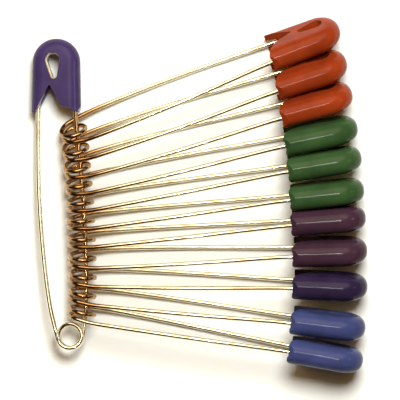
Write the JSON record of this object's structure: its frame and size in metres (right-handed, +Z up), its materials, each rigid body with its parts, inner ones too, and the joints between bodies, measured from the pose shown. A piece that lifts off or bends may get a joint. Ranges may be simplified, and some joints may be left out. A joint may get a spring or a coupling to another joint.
{
  "type": "bunch of safety pins",
  "caption": "Bunch of closed safety pins with rounded plastic heads: one lies on its side, and the rest stand on edge in a fan, threaded by their coils on its arm.",
  "frame": {"origin": "centre of the bunch's bounding box, at the height of the surface that it lies on", "axes": "+X runs from the carrier pin to the heads of the strung pins, +Y from the carrier's coil to its head, +Z up"},
  "size_m": [0.0582, 0.0614, 0.0096],
  "materials": {
    "violet_plastic": "gloss",
    "red_plastic": "gloss",
    "green_plastic": "gloss",
    "plum_plastic": "gloss",
    "indigo_plastic": "gloss",
    "blue_plastic": "gloss",
    "wire_steel": "bright plated",
    "clasp_steel": "bright plated"
  },
  "bodies": {
    "root": {"carrier_head_cover": "violet_plastic", "carrier_clasp": "clasp_steel", "carrier_fixed_arm": "wire_steel", "carrier_coil_spring": "wire_steel"},
    "carrier_point": {"carrier_pin_arm": "wire_steel"},
    "pin_01": {"pin_01_head_cover": "red_plastic", "pin_01_clasp": "clasp_steel", "pin_01_fixed_arm": "wire_steel", "pin_01_coil_spring": "wire_steel"},
    "pin_01_point": {"pin_01_pin_arm": "wire_steel"},
    "pin_02": {"pin_02_head_cover": "red_plastic", "pin_02_clasp": "clasp_steel", "pin_02_fixed_arm": "wire_steel", "pin_02_coil_spring": "wire_steel"},
    "pin_02_point": {"pin_02_pin_arm": "wire_steel"},
    "pin_03": {"pin_03_head_cover": "red_plastic", "pin_03_clasp": "clasp_steel", "pin_03_fixed_arm": "wire_steel", "pin_03_coil_spring": "wire_steel"},
    "pin_03_point": {"pin_03_pin_arm": "wire_steel"},
    "pin_04": {"pin_04_head_cover": "green_plastic", "pin_04_clasp": "clasp_steel", "pin_04_fixed_arm": "wire_steel", "pin_04_coil_spring": "wire_steel"},
    "pin_04_point": {"pin_04_pin_arm": "wire_steel"},
    "pin_05": {"pin_05_head_cover": "green_plastic", "pin_05_clasp": "clasp_steel", "pin_05_fixed_arm": "wire_steel", "pin_05_coil_spring": "wire_steel"},
    "pin_05_point": {"pin_05_pin_arm": "wire_steel"},
    "pin_06": {"pin_06_head_cover": "green_plastic", "pin_06_clasp": "clasp_steel", "pin_06_fixed_arm": "wire_steel", "pin_06_coil_spring": "wire_steel"},
    "pin_06_point": {"pin_06_pin_arm": "wire_steel"},
    "pin_07": {"pin_07_head_cover": "plum_plastic", "pin_07_clasp": "clasp_steel", "pin_07_fixed_arm": "wire_steel", "pin_07_coil_spring": "wire_steel"},
    "pin_07_point": {"pin_07_pin_arm": "wire_steel"},
    "pin_08": {"pin_08_head_cover": "plum_plastic", "pin_08_clasp": "clasp_steel", "pin_08_fixed_arm": "wire_steel", "pin_08_coil_spring": "wire_steel"},
    "pin_08_point": {"pin_08_pin_arm": "wire_steel"},
    "pin_09": {"pin_09_head_cover": "indigo_plastic", "pin_09_clasp": "clasp_steel", "pin_09_fixed_arm": "wire_steel", "pin_09_coil_spring": "wire_steel"},
    "pin_09_point": {"pin_09_pin_arm": "wire_steel"},
    "pin_10": {"pin_10_head_cover": "blue_plastic", "pin_10_clasp": "clasp_steel", "pin_10_fixed_arm": "wire_steel", "pin_10_coil_spring": "wire_steel"},
    "pin_10_point": {"pin_10_pin_arm": "wire_steel"},
    "pin_11": {"pin_11_head_cover": "blue_plastic", "pin_11_clasp": "clasp_steel", "pin_11_fixed_arm": "wire_steel", "pin_11_coil_spring": "wire_steel"},
    "pin_11_point": {"pin_11_pin_arm": "wire_steel"}
  },
  "joints": [
    {"name": "carrier_opening", "type": "hinge", "parent": "root", "child": "carrier_point", "pos_m": [-0.02236, -0.02443, 0.0038], "axis": [-0.1218, 0.0208, 0.9923], "range_deg": [0, 30], "deforming": ["carrier_coil_spring"]},
    {"name": "pin_01_swing", "type": "hinge", "parent": "root", "child": "pin_01", "pos_m": [-0.02121, 0.01141, 0.00312], "axis": [-0.0999, -0.9944, -0.0334], "range_deg": [0, 90]},
    {"name": "pin_01_opening", "type": "hinge", "parent": "pin_01", "child": "pin_01_point", "pos_m": [-0.02167, 0.01093, 0.00361], "axis": [-0.3305, 0.8098, 0.4848], "range_deg": [0, 30], "deforming": ["pin_01_coil_spring"]},
    {"name": "pin_02_swing", "type": "hinge", "parent": "root", "child": "pin_02", "pos_m": [-0.02087, 0.00822, 0.00316], "axis": [-0.0999, -0.9944, -0.0334], "range_deg": [0, 90]},
    {"name": "pin_02_opening", "type": "hinge", "parent": "pin_02", "child": "pin_02_point", "pos_m": [-0.02135, 0.00776, 0.00367], "axis": [-0.2875, 0.8348, 0.4695], "range_deg": [0, 30], "deforming": ["pin_02_coil_spring"]},
    {"name": "pin_03_swing", "type": "hinge", "parent": "root", "child": "pin_03", "pos_m": [-0.02056, 0.00503, 0.00317], "axis": [-0.0999, -0.9944, -0.0334], "range_deg": [0, 90]},
    {"name": "pin_03_opening", "type": "hinge", "parent": "pin_03", "child": "pin_03_point", "pos_m": [-0.02107, 0.00462, 0.00379], "axis": [-0.254, 0.8917, 0.3746], "range_deg": [0, 30], "deforming": ["pin_03_coil_spring"]},
    {"name": "pin_04_swing", "type": "hinge", "parent": "root", "child": "pin_04", "pos_m": [-0.02027, 0.00183, 0.00318], "axis": [-0.0999, -0.9944, -0.0334], "range_deg": [0, 90]},
    {"name": "pin_04_opening", "type": "hinge", "parent": "pin_04", "child": "pin_04_point", "pos_m": [-0.02081, 0.00152, 0.00396], "axis": [-0.2084, 0.9477, 0.2419], "range_deg": [0, 30], "deforming": ["pin_04_coil_spring"]},
    {"name": "pin_05_swing", "type": "hinge", "parent": "root", "child": "pin_05", "pos_m": [-0.01997, -0.00136, 0.00319], "axis": [-0.0999, -0.9944, -0.0334], "range_deg": [0, 90]},
    {"name": "pin_05_opening", "type": "hinge", "parent": "pin_05", "child": "pin_05_point", "pos_m": [-0.02054, -0.0016, 0.00406], "axis": [-0.1681, 0.9733, 0.1564], "range_deg": [0, 30], "deforming": ["pin_05_coil_spring"]},
    {"name": "pin_06_swing", "type": "hinge", "parent": "root", "child": "pin_06", "pos_m": [-0.01985, -0.00455, 0.00318], "axis": [-0.0999, -0.9944, -0.0334], "range_deg": [0, 90]},
    {"name": "pin_06_opening", "type": "hinge", "parent": "pin_06", "child": "pin_06_point", "pos_m": [-0.02043, -0.00473, 0.00409], "axis": [-0.1175, 0.9856, 0.1219], "range_deg": [0, 30], "deforming": ["pin_06_coil_spring"]},
    {"name": "pin_07_swing", "type": "hinge", "parent": "root", "child": "pin_07", "pos_m": [-0.01972, -0.00774, 0.00317], "axis": [-0.0999, -0.9944, -0.0334], "range_deg": [0, 90]},
    {"name": "pin_07_opening", "type": "hinge", "parent": "pin_07", "child": "pin_07_point", "pos_m": [-0.02031, -0.0079, 0.00408], "axis": [-0.0848, 0.9889, 0.1219], "range_deg": [0, 30], "deforming": ["pin_07_coil_spring"]},
    {"name": "pin_08_swing", "type": "hinge", "parent": "root", "child": "pin_08", "pos_m": [-0.0196, -0.01093, 0.00316], "axis": [-0.0999, -0.9944, -0.0334], "range_deg": [0, 90]},
    {"name": "pin_08_opening", "type": "hinge", "parent": "pin_08", "child": "pin_08_point", "pos_m": [-0.02019, -0.01115, 0.00394], "axis": [-0.0372, 0.9696, 0.2419], "range_deg": [0, 30], "deforming": ["pin_08_coil_spring"]},
    {"name": "pin_09_swing", "type": "hinge", "parent": "root", "child": "pin_09", "pos_m": [-0.01954, -0.01412, 0.00314], "axis": [-0.0999, -0.9944, -0.0334], "range_deg": [0, 90]},
    {"name": "pin_09_opening", "type": "hinge", "parent": "pin_09", "child": "pin_09_point", "pos_m": [-0.02015, -0.01428, 0.00396], "axis": [0.0273, 0.9778, 0.2079], "range_deg": [0, 30], "deforming": ["pin_09_coil_spring"]},
    {"name": "pin_10_swing", "type": "hinge", "parent": "root", "child": "pin_10", "pos_m": [-0.01958, -0.01731, 0.00311], "axis": [-0.0999, -0.9944, -0.0334], "range_deg": [0, 90]},
    {"name": "pin_10_opening", "type": "hinge", "parent": "pin_10", "child": "pin_10_point", "pos_m": [-0.02019, -0.0174, 0.00396], "axis": [0.1098, 0.9787, 0.1736], "range_deg": [0, 30], "deforming": ["pin_10_coil_spring"]},
    {"name": "pin_11_swing", "type": "hinge", "parent": "root", "child": "pin_11", "pos_m": [-0.01965, -0.0205, 0.00307], "axis": [-0.0999, -0.9944, -0.0334], "range_deg": [0, 90]},
    {"name": "pin_11_opening", "type": "hinge", "parent": "pin_11", "child": "pin_11_point", "pos_m": [-0.02026, -0.02053, 0.00396], "axis": [0.1634, 0.9767, 0.1392], "range_deg": [0, 30], "deforming": ["pin_11_coil_spring"]}
  ],
  "couplings": [
    {"joint": "pin_02_swing", "follows": "pin_01_swing", "ratio": 1},
    {"joint": "pin_03_swing", "follows": "pin_01_swing", "ratio": 1},
    {"joint": "pin_04_swing", "follows": "pin_01_swing", "ratio": 1},
    {"joint": "pin_05_swing", "follows": "pin_01_swing", "ratio": 1},
    {"joint": "pin_06_swing", "follows": "pin_01_swing", "ratio": 1},
    {"joint": "pin_07_swing", "follows": "pin_01_swing", "ratio": 1},
    {"joint": "pin_08_swing", "follows": "pin_01_swing", "ratio": 1},
    {"joint": "pin_09_swing", "follows": "pin_01_swing", "ratio": 1},
    {"joint": "pin_10_swing", "follows": "pin_01_swing", "ratio": 1},
    {"joint": "pin_11_swing", "follows": "pin_01_swing", "ratio": 1}
  ]
}
